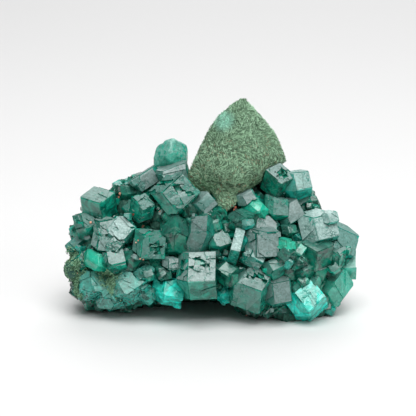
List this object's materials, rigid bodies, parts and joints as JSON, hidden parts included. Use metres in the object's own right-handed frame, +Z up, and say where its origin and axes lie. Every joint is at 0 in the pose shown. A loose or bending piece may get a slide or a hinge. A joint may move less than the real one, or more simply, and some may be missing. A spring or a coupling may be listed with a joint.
{
  "type": "dioptase specimen",
  "caption": "Standing mineral specimen: emerald dioptase crystals heaped over a lump of rock, with a calcite crystal coated in fine green needles rising from the top.",
  "frame": {"origin": "middle of the bounding box, on the plane the specimen stands on", "axes": "+Z up, +X along the width, -Y towards the crystal-covered front"},
  "size_m": [0.0732, 0.037, 0.0534],
  "materials": {
    "dioptase": "glassy emerald-green crystal faces, gloss",
    "needle_coat": "felt of fine green needles, matt",
    "rock": "rough green and brown rock crusted with small crystals"
  },
  "bodies": {
    "root": {"coated_calcite": "needle_coat", "dioptase_centre_01": "dioptase", "dioptase_centre_02": "dioptase", "dioptase_centre_03": "dioptase", "dioptase_centre_04": "dioptase", "dioptase_centre_05": "dioptase", "dioptase_centre_06": "dioptase", "dioptase_centre_07": "dioptase", "dioptase_centre_08": "dioptase", "dioptase_centre_09": "dioptase", "dioptase_foot_01": "dioptase", "dioptase_foot_02": "dioptase", "dioptase_foot_03": "dioptase", "dioptase_foot_04": "dioptase", "dioptase_foot_05": "dioptase", "dioptase_foot_06": "dioptase", "dioptase_foot_07": "dioptase", "dioptase_left_01": "dioptase", "dioptase_left_02": "dioptase", "dioptase_left_03": "dioptase", "dioptase_left_04": "dioptase", "dioptase_left_05": "dioptase", "dioptase_left_06": "dioptase", "dioptase_left_07": "dioptase", "dioptase_left_08": "dioptase", "dioptase_left_09": "dioptase", "dioptase_left_10": "dioptase", "dioptase_left_11": "dioptase", "dioptase_left_12": "dioptase", "dioptase_left_13": "dioptase", "dioptase_ridge_01": "dioptase", "dioptase_ridge_02": "dioptase", "dioptase_ridge_03": "dioptase", "dioptase_ridge_04": "dioptase", "dioptase_ridge_05": "dioptase", "dioptase_ridge_06": "dioptase", "dioptase_ridge_07": "dioptase", "dioptase_ridge_08": "dioptase", "dioptase_ridge_09": "dioptase", "dioptase_right_01": "dioptase", "dioptase_right_02": "dioptase", "dioptase_right_03": "dioptase", "dioptase_right_04": "dioptase", "dioptase_right_05": "dioptase", "dioptase_right_06": "dioptase", "dioptase_right_07": "dioptase", "dioptase_right_08": "dioptase", "dioptase_right_09": "dioptase", "dioptase_right_10": "dioptase", "dioptase_right_11": "dioptase", "dioptase_right_12": "dioptase", "dioptase_right_13": "dioptase", "dioptase_right_14": "dioptase", "dioptase_right_15": "dioptase", "dioptase_right_16": "dioptase", "dioptase_right_17": "dioptase", "dioptase_right_18": "dioptase", "dioptase_right_19": "dioptase", "dioptase_right_20": "dioptase", "matrix_rock": "rock"}
  },
  "joints": []
}
